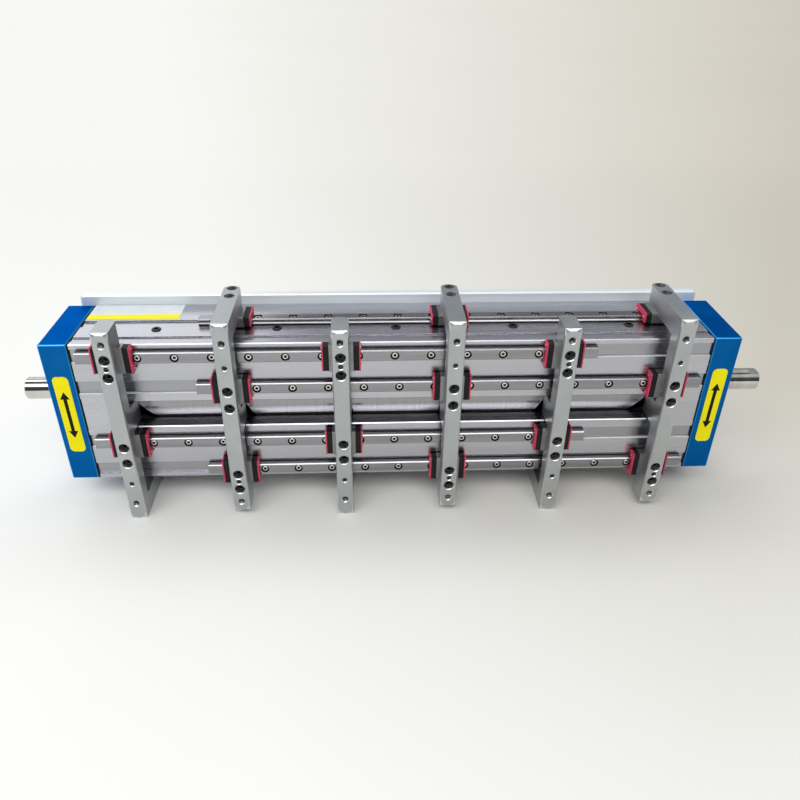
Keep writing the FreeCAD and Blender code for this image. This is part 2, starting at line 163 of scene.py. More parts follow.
floorPlan = {
    "reach": 9.0,
    "roughness": 0.7,
    "white": (0.90, 0.905, 0.875),
    "warm": (0.60, 0.57, 0.49),
    # The warm tone fans out to the right from a point in front of the part.
    "fanPoint": 0.36,
    "fanNearest": 0.10,
    "fanStart": -0.20,
    "fanStop": 0.58,
    "cloud": (2.0, 2.0, 2.0),
    "cloudDetail": 3.0,
    "cloudDrift": 0.08,
    # Little of it is left on the near side.
    "nearShare": 0.12,
    "nearFrom": -0.22,
    "nearTo": 0.06,
    # The sheet is lit like the rest up to here, and its far part shows evenly pale.
    "litTo": 0.15,
    "glowsFrom": 0.60,
    "glow": 1.04,
}


def floorColour(tree, place, settings):
    depth = mathNode(tree, "ADD", place["Y"], settings["fanPoint"])
    depth = mathNode(tree, "MAXIMUM", depth, settings["fanNearest"])
    slantHighlightColour = mathNode(tree, "DIVIDE", place["X"], depth)
    cloud = noiseField(tree, settings["cloud"], settings["cloudDetail"])
    drift = mathNode(tree, "ADD", slantHighlightColour, mathNode(tree, "MULTIPLY", cloud, settings["cloudDrift"]))
    aside = between(tree, drift, 0.0, 1.0, settings["fanStart"], settings["fanStop"])
    away = between(tree, place["Y"], settings["nearShare"], 1.0, settings["nearFrom"], settings["nearTo"])
    warmth = mathNode(tree, "MULTIPLY", aside, away)
    return spread(tree, warmth, settings["white"], settings["warm"], 0.0, 1.0)


def layFloor(settings):
    reach = settings["reach"]
    height = cadLow.z
    mesh = bpy.data.meshes.new("floor")
    corners = [(x * reach, y * reach, height) for x, y in ((-1, -1), (1, -1), (1, 1), (-1, 1))]
    mesh.from_pydata(corners, [], [(0, 1, 2, 3)])
    floor = addPiece("floor", mesh)
    material, tree, shader = startMaterial("paleFloor")
    place = objectPlace(tree)
    colour = floorColour(tree, place, settings)
    tree.links.new(colour, shader.inputs["Base Color"])
    shader.inputs["Roughness"].default_value = settings["roughness"]
    glow = addNode(tree, "ShaderNodeEmission", {"Color": colour, "Strength": settings["glow"]})
    far = between(tree, place["Y"], 0.0, 1.0, settings["litTo"], settings["glowsFrom"])
    path = addNode(tree, "ShaderNodeLightPath").outputs
    mirrored = mathNode(tree, "MAXIMUM", path["Is Glossy Ray"], path["Is Transmission Ray"])
    looked = mathNode(tree, "MAXIMUM", mirrored, path["Is Camera Ray"])
    glowing = mathNode(tree, "MULTIPLY", far, looked)
    both = addNode(tree, "ShaderNodeMixShader", {0: glowing, 1: shader.outputs["BSDF"],
                                                 2: glow.outputs["Emission"]})
    tree.links.new(both.outputs["Shader"], tree.nodes["Material Output"].inputs["Surface"])
    mesh.materials.append(material)


lamps = {
    "frontPanel": {"place": (-0.30, -1.45, 1.79), "size": (2.9, 0.9), "power": 36.0},
    "backPanel": {"place": (-0.20, 0.90, 2.10), "size": (2.9, 0.8), "power": 13.0},
    "windowBack": {"place": (-1.10, 1.90, 1.00), "size": (1.6, 1.0), "power": 5.5},
    "windowSide": {"place": (-2.20, -0.20, 1.10), "size": (1.2, 1.6), "power": 6.0},
}


def hangLamps(settings):
    # Every lamp shines on the origin.
    for name, lamp in settings.items():
        data = bpy.data.lights.new(name, "AREA")
        data.shape = "RECTANGLE"
        data.size, data.size_y = lamp["size"]
        data.energy = lamp["power"]
        place = Vector(lamp["place"])
        turn = (-place).to_track_quat("-Z", "Y")
        holder = bpy.data.objects.new(name, data)
        holder.matrix_world = Matrix.Translation(place) @ turn.to_matrix().to_4x4()
        bpy.context.scene.collection.objects.link(holder)


room = {
    "strength": 0.75,
    # The two ends of the room, along X, have one colour that fades into the ring.
    "side": (0.46, 0.47, 0.48),
    "sideFocus": 3.0,
    # Share of the full turn about X, from straight back over the floor to the front, the zenith and the back.
    "ring": ((0.00, (0.34, 0.36, 0.40)), (0.25, (0.80, 0.80, 0.78)), (0.47, (0.50, 0.50, 0.48)),
             (0.51, (0.08, 0.08, 0.09)), (0.60, (0.10, 0.10, 0.11)), (0.64, (0.80, 0.80, 0.80)),
             (0.70, (0.90, 0.90, 0.90)), (0.72, (0.16, 0.16, 0.18)), (0.76, (0.16, 0.16, 0.18)),
             (0.78, (0.85, 0.86, 0.88)), (0.88, (0.72, 0.74, 0.78)), (0.93, (0.40, 0.42, 0.46))),
}


def lightRoom(settings):
    world = bpy.data.worlds.new("room")
    world.use_nodes = True
    tree = world.node_tree
    where = addNode(tree, "ShaderNodeTexCoord")
    split = addNode(tree, "ShaderNodeSeparateXYZ", {"Vector": where.outputs["Generated"]}).outputs
    angle = mathNode(tree, "ARCTAN2", split["Z"], mathNode(tree, "MULTIPLY", split["Y"], -1.0))
    share = between(tree, angle, 0.0, 1.0, -math.pi, math.pi)
    ring = addNode(tree, "ShaderNodeValToRGB", {"Fac": share})
    stops = ring.color_ramp.elements
    start, *others = settings["ring"]
    stops[0].color = (*start[1], 1)
    stops[1].color = (*start[1], 1)
    for place, colour in others:
        stops.new(place).color = (*colour, 1)
    square = mathNode(tree, "MULTIPLY", split["X"], split["X"])
    aside = mathNode(tree, "POWER", square, settings["sideFocus"])
    walls = mixColours(tree, aside, ring.outputs["Color"], (*settings["side"], 1))
    background = tree.nodes["Background"]
    tree.links.new(walls, background.inputs["Color"])
    background.inputs["Strength"].default_value = settings["strength"]
    bpy.context.scene.world = world


# Finishes: clouds vary the colour, and a finer grain varies the roughness and the bump

grainLook = {
    "cloudDetail": 3.0,
    "grainDetail": 2.0,
    "roughnessFrom": 0.7,
    "roughnessTo": 1.3,
    # Cosine of the angle at which an edge is fully worn and carries its painted highlight, and where both
    # end.
    "wornHighlight": 0.80,
    "wornHighlightEnd": 0.99,
    # The same for the largest part of a slanted face's normal.
    "slanted": 0.85,
    "straight": 0.99,
}


def paintSocketShade(tree, colour, settings):
    # Painted shade: the socket's faces take a near-black colour, the dark of a deep hole.
    marked = addNode(tree, "ShaderNodeAttribute", attribute_name="socket").outputs["Fac"]
    return mixColours(tree, marked, colour, (*settings["socket"], 1))


def wearAndHighlightEdges(tree, colour, rounded, settings):
    # Sharp edges get a lighter colour: partly wear, partly a painted highlight along the edge.
    flat = addNode(tree, "ShaderNodeNewGeometry").outputs["Normal"]
    along = addNode(tree, "ShaderNodeVectorMath", {0: rounded, 1: flat}, operation="DOT_PRODUCT")
    wornLitEdge = between(tree, along.outputs["Value"], 1.0, 0.0, grainLook["wornHighlight"], grainLook["wornHighlightEnd"])
    return mixColours(tree, wornLitEdge, colour, (*settings["wornHighlight"], 1))


def paintSlantHighlights(tree, colour, settings):
    # Rounded and chamfered edges face along no axis, and get a painted highlight: a brighter colour.
    facing = addNode(tree, "ShaderNodeNewGeometry").outputs["Normal"]
    parts = addNode(tree, "ShaderNodeVectorMath", {0: facing}, operation="ABSOLUTE").outputs["Vector"]
    split = addNode(tree, "ShaderNodeSeparateXYZ", {"Vector": parts}).outputs
    largest = mathNode(tree, "MAXIMUM", mathNode(tree, "MAXIMUM", split["X"], split["Y"]), split["Z"])
    slantHighlight = between(tree, largest, 1.0, 0.0, grainLook["slanted"], grainLook["straight"])
    return mixColours(tree, slantHighlight, colour, (*settings["slantHighlightColour"], 1))


def grainedFinish(name, settings):
    material, tree, shader = startMaterial(name)
    cloud = noiseField(tree, settings["cloud"], grainLook["cloudDetail"])
    grain = noiseField(tree, settings["grain"], grainLook["grainDetail"])
    bump = addNode(tree, "ShaderNodeBump", {"Height": grain, "Strength": settings["bump"],
                                            "Distance": settings["depth"]})
    colour = spread(tree, cloud, settings["dark"], settings["light"])
    if "socket" in settings:
        colour = paintSocketShade(tree, colour, settings)
    if "edge" in settings:
        rounded = addNode(tree, "ShaderNodeBevel", {"Radius": settings["edge"]}).outputs["Normal"]
        tree.links.new(rounded, bump.inputs["Normal"])
        # Lighter edges: wear plus a painted highlight.
        colour = wearAndHighlightEdges(tree, colour, rounded, settings)
    if "slantHighlightColour" in settings:
        # Painted highlight on slanted faces.
        colour = paintSlantHighlights(tree, colour, settings)
    roughness = between(tree, mathNode(tree, "ADD", cloud, grain), *settings["roughness"],
                        grainLook["roughnessFrom"], grainLook["roughnessTo"])
    tree.links.new(colour, shader.inputs["Base Color"])
    tree.links.new(roughness, shader.inputs["Roughness"])
    tree.links.new(bump.outputs["Normal"], shader.inputs["Normal"])
    shader.inputs["Metallic"].default_value = settings["metallic"]
    shader.inputs["Specular Tint"].default_value = (*settings.get("tint", (1, 1, 1)), 1)
    shader.inputs["Specular IOR Level"].default_value = settings.get("gloss", 0.5)
    return material


# Metals. Where cloud and grain have a small first number, the pattern is drawn out along X.

silverExtrusion = grainedFinish("silverExtrusion", {
    "cloud": (4, 160, 160), "grain": (14, 1500, 1500),
    "dark": (0.47, 0.47, 0.505), "light": (0.525, 0.525, 0.56),
    "roughness": (0.22, 0.30), "bump": 0.03, "depth": 0.03 * mm, "metallic": 1.0,
    "edge": 0.18 * mm, "wornHighlight": (0.62, 0.62, 0.65)})
basePlateSilver = grainedFinish("basePlateSilver", {
    "cloud": (5, 300, 300), "grain": (24, 2400, 2400),
    "dark": (0.78, 0.84, 0.88), "light": (0.88, 0.93, 0.96),
    "roughness": (0.32, 0.42), "bump": 0.10, "depth": 0.03 * mm, "metallic": 0.35,
    "edge": 0.3 * mm, "wornHighlight": (0.97, 0.98, 0.98)})
blueAnodised = grainedFinish("blueAnodised", {
    "cloud": (60, 60, 60), "grain": (5200, 5200, 5200),
    "dark": (0.003, 0.107, 0.345), "light": (0.006, 0.14, 0.43), "tint": (0.1, 0.4, 1.0),
    "roughness": (0.38, 0.48), "bump": 0.22, "depth": 0.03 * mm, "metallic": 1.0,
    "edge": 0.3 * mm, "wornHighlight": (0.03, 0.34, 0.80), "slantHighlightColour": (0.05, 0.42, 0.88)})
blastedBar = grainedFinish("blastedBar", {
    "cloud": (70, 70, 70), "grain": (5600, 5600, 5600),
    "dark": (0.41, 0.43, 0.435), "light": (0.475, 0.495, 0.50),
    "roughness": (0.32, 0.42), "bump": 0.30, "depth": 0.04 * mm, "metallic": 0.95,
    "slantHighlightColour": (0.80, 0.82, 0.82)})
cutThread = grainedFinish("cutThread", {
    "cloud": (300, 300, 300), "grain": (5200, 5200, 5200),
    "dark": (0.32, 0.33, 0.32), "light": (0.42, 0.43, 0.42),
    "roughness": (0.14, 0.24), "bump": 0.10, "depth": 0.02 * mm, "metallic": 1.0})
groundRail = grainedFinish("groundRail", {
    "cloud": (14, 420, 420), "grain": (60, 5200, 5200),
    "dark": (0.26, 0.255, 0.27), "light": (0.345, 0.34, 0.355),
    "roughness": (0.18, 0.28), "bump": 0.20, "depth": 0.03 * mm, "metallic": 1.0,
    "edge": 0.12 * mm, "wornHighlight": (0.42, 0.415, 0.43)})
carriageSteel = grainedFinish("carriageSteel", {
    "cloud": (40, 200, 200), "grain": (500, 5200, 5200),
    "dark": (0.24, 0.24, 0.24), "light": (0.33, 0.33, 0.33),
    "roughness": (0.30, 0.42), "bump": 0.25, "depth": 0.03 * mm, "metallic": 0.95,
    "edge": 0.15 * mm, "wornHighlight": (0.50, 0.50, 0.50)})
bearingSteel = grainedFinish("bearingSteel", {
    "cloud": (300, 60, 60), "grain": (4000, 700, 700),
    "dark": (0.46, 0.46, 0.47), "light": (0.58, 0.58, 0.59),
    "roughness": (0.16, 0.26), "bump": 0.12, "depth": 0.02 * mm, "metallic": 1.0})
polishedShaft = grainedFinish("polishedShaft", {
    "cloud": (320, 30, 30), "grain": (6500, 40, 40),
    "dark": (0.54, 0.53, 0.50), "light": (0.66, 0.645, 0.61),
    "roughness": (0.07, 0.14), "bump": 0.12, "depth": 0.02 * mm, "metallic": 1.0})
blackOxide = grainedFinish("blackOxide", {
    "cloud": (500, 500, 500), "grain": (6000, 6000, 6000),
    "dark": (0.008, 0.008, 0.010), "light": (0.030, 0.030, 0.034),
    "roughness": (0.28, 0.44), "bump": 0.20, "depth": 0.02 * mm, "metallic": 0.5})
# The socket colour below is painted shade.
platedScrew = grainedFinish("platedScrew", {
    "cloud": (600, 600, 600), "grain": (6000, 6000, 6000),
    "dark": (0.66, 0.64, 0.58), "light": (0.84, 0.82, 0.76), "socket": (0.045, 0.043, 0.04),
    "roughness": (0.18, 0.30), "bump": 0.12, "depth": 0.02 * mm, "metallic": 1.0})


# Plastics, rubbers, films and ink

mouldedCap = grainedFinish("mouldedCap", {
    "cloud": (220, 220, 220), "grain": (4800, 4800, 4800),
    "dark": (0.006, 0.006, 0.007), "light": (0.014, 0.014, 0.016), "gloss": 0.22,
    "roughness": (0.42, 0.58), "bump": 0.30, "depth": 0.04 * mm, "metallic": 0.0})
raspberrySeal = grainedFinish("raspberrySeal", {
    "cloud": (260, 260, 260), "grain": (4200, 4200, 4200),
    "dark": (0.62, 0.018, 0.078), "light": (0.76, 0.036, 0.115),
    "roughness": (0.36, 0.52), "bump": 0.25, "depth": 0.04 * mm, "metallic": 0.0})
gasketRubberAndBoreShade = grainedFinish("gasketRubberAndBoreShade", {
    "cloud": (240, 240, 240), "grain": (4200, 4200, 4200),
    "dark": (0.004, 0.004, 0.006), "light": (0.012, 0.012, 0.015), "gloss": 0.15,
    "roughness": (0.50, 0.66), "bump": 0.25, "depth": 0.04 * mm, "metallic": 0.0})
navyGasket = grainedFinish("navyGasket", {
    "cloud": (240, 240, 240), "grain": (4200, 4200, 4200),
    "dark": (0.002, 0.012, 0.045), "light": (0.004, 0.020, 0.070), "gloss": 0.15,
    "roughness": (0.50, 0.66), "bump": 0.25, "depth": 0.04 * mm, "metallic": 0.0})
yellowFilm = grainedFinish("yellowFilm", {
    "cloud": (150, 150, 150), "grain": (3000, 3000, 3000),
    "dark": (0.90, 0.80, 0.0), "light": (0.95, 0.86, 0.002), "gloss": 0.15,
    "roughness": (0.38, 0.48), "bump": 0.10, "depth": 0.02 * mm, "metallic": 0.0})
whiteFilm = grainedFinish("whiteFilm", {
    "cloud": (150, 150, 150), "grain": (3000, 3000, 3000),
    "dark": (0.64, 0.69, 0.71), "light": (0.71, 0.76, 0.78),
    "roughness": (0.30, 0.42), "bump": 0.10, "depth": 0.02 * mm, "metallic": 0.0})
blackInk = grainedFinish("blackInk", {
    "cloud": (300, 300, 300), "grain": (3000, 3000, 3000),
    "dark": (0.003, 0.004, 0.002), "light": (0.009, 0.010, 0.006), "gloss": 0.12,
    "roughness": (0.42, 0.54), "bump": 0.10, "depth": 0.02 * mm, "metallic": 0.0})


# Channels of the body: the floor darkened as painted shade, and the side walls made near white as a painted
# highlight

seatShadeAndHighlight = {
    # The floor factor paints shade, and the wall colour paints a highlight.
    "floor": 0.72,
    "wall": (0.94, 0.95, 0.96),
    "wallMetal": 0.0,
    "wallRoughness": 0.5,
    "depth": 1.0 * mm,
    "lip": 0.06 * mm,
    # Heights above or below the middle, between which the channels lie.
    "inner": 8.0 * mm,
    "outer": 31.0 * mm,
}


def paintSeatShadeAndHighlight(material, settings):
    tree = material.node_tree
    shader = tree.nodes["Principled BSDF"]
    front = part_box("main_body")[0].y
    place = objectPlace(tree)
    depth = mathNode(tree, "SUBTRACT", place["Y"], front)
    height = mathNode(tree, "ABSOLUTE", place["Z"])
    above = mathNode(tree, "GREATER_THAN", height, settings["inner"])
    beside = mathNode(tree, "MULTIPLY", above, mathNode(tree, "LESS_THAN", height, settings["outer"]))
    cut = mathNode(tree, "MULTIPLY", beside, mathNode(tree, "GREATER_THAN", depth, settings["lip"]))
    deep = mathNode(tree, "GREATER_THAN", depth, settings["depth"] - settings["lip"])
    floor = mathNode(tree, "MULTIPLY", cut, deep)
    wall = mathNode(tree, "SUBTRACT", cut, floor)
    drawn = shader.inputs["Base Color"].links[0].from_socket
    # Painted shade on the recessed floor.
    shade = between(tree, floor, 1.0, settings["floor"], 0.0, 1.0)
    shadedFloor = addNode(tree, "ShaderNodeVectorMath", {0: drawn, "Scale": shade}, operation="SCALE")
    # Painted highlight: the walls take a near-white colour.
    colour = mixColours(tree, wall, shadedFloor.outputs["Vector"], (*settings["wall"], 1))
    tree.links.new(colour, shader.inputs["Base Color"])
    metal = between(tree, wall, 1.0, settings["wallMetal"], 0.0, 1.0)
    tree.links.new(metal, shader.inputs["Metallic"])
    smooth = shader.inputs["Roughness"].links[0].from_socket
    rough = between(tree, wall, smooth, settings["wallRoughness"], 0.0, 1.0)
    tree.links.new(rough, shader.inputs["Roughness"])


# Cam drum: bright turned skin, and grooves below it painted black as their shade

turnedDrum = {
    "bright": (0.38, 0.375, 0.385),
    "dull": (0.31, 0.305, 0.312),
    "groove": (0.008, 0.008, 0.010),
    "cut": (900, 30, 30),
    "cutDetail": 2.0,
    "skin": 2.4 * mm,
    "skinFade": 0.2 * mm,
    "roughness": (0.14, 0.22),
    "bump": 0.06,
    "depth": 0.02 * mm,
    "metallic": 0.9,
}


def drumFinish(settings):
    material, tree, shader = startMaterial("turnedDrum")
    low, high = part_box("cam_drum")
    middle = (low + high) / 2
    skinRadius = (high.z - low.z) / 2 - settings["skin"]
    where = addNode(tree, "ShaderNodeTexCoord").outputs["Object"]
    fromAxis = addNode(tree, "ShaderNodeVectorMath", {0: where, 1: tuple(-middle)}, operation="ADD")
    across = addNode(tree, "ShaderNodeVectorMath", {0: fromAxis.outputs["Vector"], 1: (0, 1, 1)},
                     operation="MULTIPLY")
    radius = addNode(tree, "ShaderNodeVectorMath", {0: across.outputs["Vector"]}, operation="LENGTH")
    onSkin = between(tree, radius.outputs["Value"], 0.0, 1.0, skinRadius - settings["skinFade"], skinRadius)
    cut = noiseField(tree, settings["cut"], settings["cutDetail"])
    skin = spread(tree, cut, settings["dull"], settings["bright"])
    # Painted shade: below the skin the grooves are near black.
    colour = mixColours(tree, onSkin, (*settings["groove"], 1), skin)
    bump = addNode(tree, "ShaderNodeBump", {"Height": cut, "Strength": settings["bump"],
                                            "Distance": settings["depth"]})
    tree.links.new(colour, shader.inputs["Base Color"])
    tree.links.new(between(tree, cut, *settings["roughness"]), shader.inputs["Roughness"])
    tree.links.new(bump.outputs["Normal"], shader.inputs["Normal"])
    shader.inputs["Metallic"].default_value = settings["metallic"]
    return material


def dress(material, *names):
    for name in names:
        for slot in nodes[name].material_slots:
            slot.material = material


def dressFrame():
    paintSeatShadeAndHighlight(silverExtrusion, seatShadeAndHighlight)
    dress(silverExtrusion, "main_body")
    dress(basePlateSilver, "base_plate")
    dress(blueAnodised, "end_block_left", "end_block_right")
    dress(gasketRubberAndBoreShade, "end_gasket_left")
    dress(navyGasket, "end_gasket_right")
    dress(groundRail, "top_rail", "bottom_rail")
    for k in frontRails:
        dress(groundRail, "front_rail_%d" % k)
    for side in ("left", "right"):
        dress(bearingSteel, "bearing_outer_" + side, "bearing_inner_" + side)
    dress(drumFinish(turnedDrum), "cam_drum")
    dress(polishedShaft, "drive_shaft", "drum_pins")
    for k in sliders:
        dress(blastedBar, "slider_bar_%d" % k)
        dress(bearingSteel, "cam_follower_%d" % k)
        dress(carriageSteel, "carriage_blocks_%d" % k)
        dress(mouldedCap, "carriage_caps_%d" % k)
        dress(raspberrySeal, "carriage_seals_%d" % k)


# Places of the repeated small pieces, read from the frame

looseWeld = 0.002 * mm  # joins the loose triangles of a CAD mesh
frontward = Vector((0, -1, 0))
backward = Vector((0, 1, 0))


def solidBoxes(name):
    # Each separate solid of a node, as the low and high corners of its box.
    mesh = bmesh.new()
    mesh.from_mesh(nodes[name].data)
    bmesh.ops.remove_doubles(mesh, verts=mesh.verts, dist=looseWeld)
    boxes = []
    seen = set()
    for start in mesh.verts:
        if start in seen:
            continue
        seen.add(start)
        found = [start]
        for vert in found:
            for edge in vert.link_edges:
                other = edge.other_vert(vert)
                if other not in seen:
                    seen.add(other)
                    found.append(other)
        low = Vector([min(vert.co[i] for vert in found) for i in range(3)])
        high = Vector([max(vert.co[i] for vert in found) for i in range(3)])
        boxes.append((low, high))
    mesh.free()
    return boxes


def outerEnd(low, high, facing):
    # Middle of the box's face on the side that the piece faces.
    middle = (low + high) / 2
    size = high - low
    reach = sum(abs(facing[i]) * size[i] for i in range(3)) / 2
    return middle + facing * reach


def upOrDown(place):
    return Vector((0, 0, math.copysign(1, place.z)))


# Trees that set one shape on many places

plainNumbers = ("Seed", "Knurl", "Turns")  # every other input is a size in millimetres


def startTree(name, sizes):
    tree = bpy.data.node_groups.new(name, "GeometryNodeTree")
    tree.interface.new_socket("Places", in_out="INPUT", socket_type="NodeSocketGeometry")
    for size in sizes:
        tree.interface.new_socket(size, in_out="INPUT", socket_type="NodeSocketFloat")
    tree.interface.new_socket("Seed", in_out="INPUT", socket_type="NodeSocketInt")
    tree.interface.new_socket("Finish", in_out="INPUT", socket_type="NodeSocketMaterial")
    tree.interface.new_socket("Geometry", in_out="OUTPUT", socket_type="NodeSocketGeometry")
    return tree, addNode(tree, "NodeGroupInput").outputs


def moveAlong(tree, shape, distance):
    step = addNode(tree, "ShaderNodeCombineXYZ", {"Z": distance})
    moved = addNode(tree, "GeometryNodeTransform", {"Geometry": shape, "Translation": step.outputs["Vector"]})
    return moved.outputs["Geometry"]


def setOnPlaces(tree, sizes, shape):
    # The shape's Z axis follows the places' facing, with a random turn about it.
    named = addNode(tree, "GeometryNodeInputNamedAttribute", {"Name": "facing"}, data_type="FLOAT_VECTOR")
    facing = named.outputs["Attribute"]
    aim = addNode(tree, "FunctionNodeAlignRotationToVector", {"Vector": facing}, axis="Z")
    copies = addNode(tree, "GeometryNodeInstanceOnPoints", {"Points": sizes["Places"], "Instance": shape,
                                                            "Rotation": aim.outputs["Rotation"]})
    turn = addNode(tree, "FunctionNodeRandomValue", {"Seed": sizes["Seed"]}, data_type="FLOAT")
    turn.inputs[3].default_value = 2 * math.pi
    euler = addNode(tree, "ShaderNodeCombineXYZ", {"Z": turn.outputs[1]})
    turned = addNode(tree, "GeometryNodeRotateInstances", {"Instances": copies.outputs["Instances"],
                                                           "Rotation": euler.outputs["Vector"]})
    real = addNode(tree, "GeometryNodeRealizeInstances", {"Geometry": turned.outputs["Instances"]})
    finished = addNode(tree, "GeometryNodeSetMaterial", {"Geometry": real.outputs["Geometry"],
                                                         "Material": sizes["Finish"]})
    addNode(tree, "NodeGroupOutput", {"Geometry": finished.outputs["Geometry"]})


def bakeRepeats(name, tree, places, settings, finish):
    # places holds (point, facing) pairs.
    mesh = bpy.data.meshes.new(name)
    mesh.from_pydata([point for point, facing in places], [], [])
    facings = mesh.attributes.new("facing", "FLOAT_VECTOR", "POINT")
    for row, (point, facing) in zip(facings.data, places):
        row.vector = facing
    piece = addPiece(name, mesh)
    modifier = piece.modifiers.new("repeats", "NODES")
    modifier.node_group = tree
    for item in tree.interface.items_tree:
        if item.in_out == "INPUT" and item.name in settings:
            unit = 1 if item.name in plainNumbers else mm
            modifier[item.identifier] = settings[item.name] * unit
        elif item.name == "Finish":
            modifier[item.identifier] = finish
    evaluated = piece.evaluated_get(bpy.context.evaluated_depsgraph_get())
    baked = bpy.data.meshes.new_from_object(evaluated)
    piece.modifiers.remove(modifier)
    piece.data = baked
    return piece


# Screws: one tree makes every head, from its foot up to the bottom of its hexagon socket

screwSizes = ("Foot Radius", "Head Radius", "Head Height", "Chamfer", "Socket Size", "Socket Depth", "Knurl",
              "Shank Radius", "Shank Length")
screwMesh = {
    "corners": 36,
    "shankCorners": 20,
    "rim": 0.6,  # the socket's mouth starts at this share of the top
    "weld": 0.001 * mm,
}


def raiseTop(tree, mesh, top, rise, scale):
    inputs = {"Mesh": mesh, "Offset Scale": rise}
    if top is not None:
        inputs["Selection"] = top
    pulled = addNode(tree, "GeometryNodeExtrudeMesh", inputs, mode="FACES")
    pulled.inputs["Individual"].default_value = False
    newTop = pulled.outputs["Top"]
    sized = addNode(tree, "GeometryNodeScaleElements", {"Geometry": pulled.outputs["Mesh"],
                                                        "Selection": newTop, "Scale": scale}, domain="FACE")
    return sized.outputs["Geometry"], newTop


def hexagonRim(tree, mesh, top, size):
    # Moves the top's corners onto a hexagon of that half width.
    place = addNode(tree, "GeometryNodeInputPosition").outputs["Position"]
    split = addNode(tree, "ShaderNodeSeparateXYZ", {"Vector": place}).outputs
    angle = mathNode(tree, "ARCTAN2", split["Y"], split["X"])
    sixth = math.pi / 3
    within = mathNode(tree, "FLOORED_MODULO", mathNode(tree, "ADD", angle, sixth / 2), sixth)
    lean = mathNode(tree, "COSINE", mathNode(tree, "SUBTRACT", within, sixth / 2))
    radius = mathNode(tree, "DIVIDE", size, lean)
    newPlace = addNode(tree, "ShaderNodeCombineXYZ", {
        "X": mathNode(tree, "MULTIPLY", radius, mathNode(tree, "COSINE", angle)),
        "Y": mathNode(tree, "MULTIPLY", radius, mathNode(tree, "SINE", angle)), "Z": split["Z"]})
    moved = addNode(tree, "GeometryNodeSetPosition", {"Geometry": mesh, "Selection": top,
                                                      "Position": newPlace.outputs["Vector"]})
    return moved.outputs["Geometry"]


def sinkSocket(tree, mesh, top, depth):
    # Marks the socket's faces, so that the finish can paint the shade of the deep socket on them.
    drop = mathNode(tree, "MULTIPLY", depth, -1.0)
    sunk = addNode(tree, "GeometryNodeExtrudeMesh", {"Mesh": mesh, "Selection": top, "Offset Scale": drop},
                   mode="FACES")
    sunk.inputs["Individual"].default_value = False
    inside = addNode(tree, "FunctionNodeBooleanMath", {0: sunk.outputs["Top"], 1: sunk.outputs["Side"]},
                     operation="OR")
    marked = addNode(tree, "GeometryNodeStoreNamedAttribute", {"Geometry": sunk.outputs["Mesh"],
                                                               "Name": "socket"},
                     data_type="FLOAT", domain="FACE")
    tree.links.new(inside.outputs["Boolean"], marked.inputs["Value"])
    return marked.outputs["Geometry"]


def knurledFoot(tree, sizes):
    # Every second corner is pulled in a little.
    foot = addNode(tree, "GeometryNodeMeshCircle", {"Vertices": screwMesh["corners"],
                                                    "Radius": sizes["Foot Radius"]}, fill_type="NGON")
    index = addNode(tree, "GeometryNodeInputIndex").outputs["Index"]
    notch = mathNode(tree, "MULTIPLY", mathNode(tree, "MODULO", index, 2.0), sizes["Knurl"])
    place = addNode(tree, "GeometryNodeInputPosition").outputs["Position"]
    shrink = mathNode(tree, "SUBTRACT", 1.0, notch)
    pulledIn = addNode(tree, "ShaderNodeVectorMath", {0: place, "Scale": shrink}, operation="SCALE")
    knurled = addNode(tree, "GeometryNodeSetPosition", {"Geometry": foot.outputs["Mesh"],
                                                        "Position": pulledIn.outputs["Vector"]})
    return knurled.outputs["Geometry"]


def screwTree():
    tree, sizes = startTree("socketScrew", screwSizes)
    foot = knurledFoot(tree, sizes)
    wallHeight = mathNode(tree, "SUBTRACT", sizes["Head Height"], sizes["Chamfer"])
    flare = mathNode(tree, "DIVIDE", sizes["Head Radius"], sizes["Foot Radius"])
    wall, top = raiseTop(tree, foot, None, wallHeight, flare)
    crownRadius = mathNode(tree, "SUBTRACT", sizes["Head Radius"], sizes["Chamfer"])
    crown = mathNode(tree, "DIVIDE", crownRadius, sizes["Head Radius"])
    capped, top = raiseTop(tree, wall, top, sizes["Chamfer"], crown)
    rimmed, top = raiseTop(tree, capped, top, 0.0, screwMesh["rim"])
    socketed = hexagonRim(tree, rimmed, top, sizes["Socket Size"])
    head = sinkSocket(tree, socketed, top, sizes["Socket Depth"])
    underside = addNode(tree, "GeometryNodeFlipFaces", {"Mesh": foot}).outputs["Mesh"]
    closed = addNode(tree, "GeometryNodeJoinGeometry")
    tree.links.new(underside, closed.inputs["Geometry"])
    tree.links.new(head, closed.inputs["Geometry"])
    welded = addNode(tree, "GeometryNodeMergeByDistance", {"Geometry": closed.outputs["Geometry"],
                                                           "Distance": screwMesh["weld"]})
    shank = addNode(tree, "GeometryNodeMeshCylinder", {"Vertices": screwMesh["shankCorners"],
                                                       "Radius": sizes["Shank Radius"],
                                                       "Depth": sizes["Shank Length"]})
    sunk = moveAlong(tree, shank.outputs["Mesh"], mathNode(tree, "MULTIPLY", sizes["Shank Length"], -0.5))
    whole = addNode(tree, "GeometryNodeJoinGeometry")
    tree.links.new(sunk, whole.inputs["Geometry"])
    tree.links.new(welded.outputs["Geometry"], whole.inputs["Geometry"])
    setOnPlaces(tree, sizes, whole.outputs["Geometry"])
    return tree


screws = screwTree()

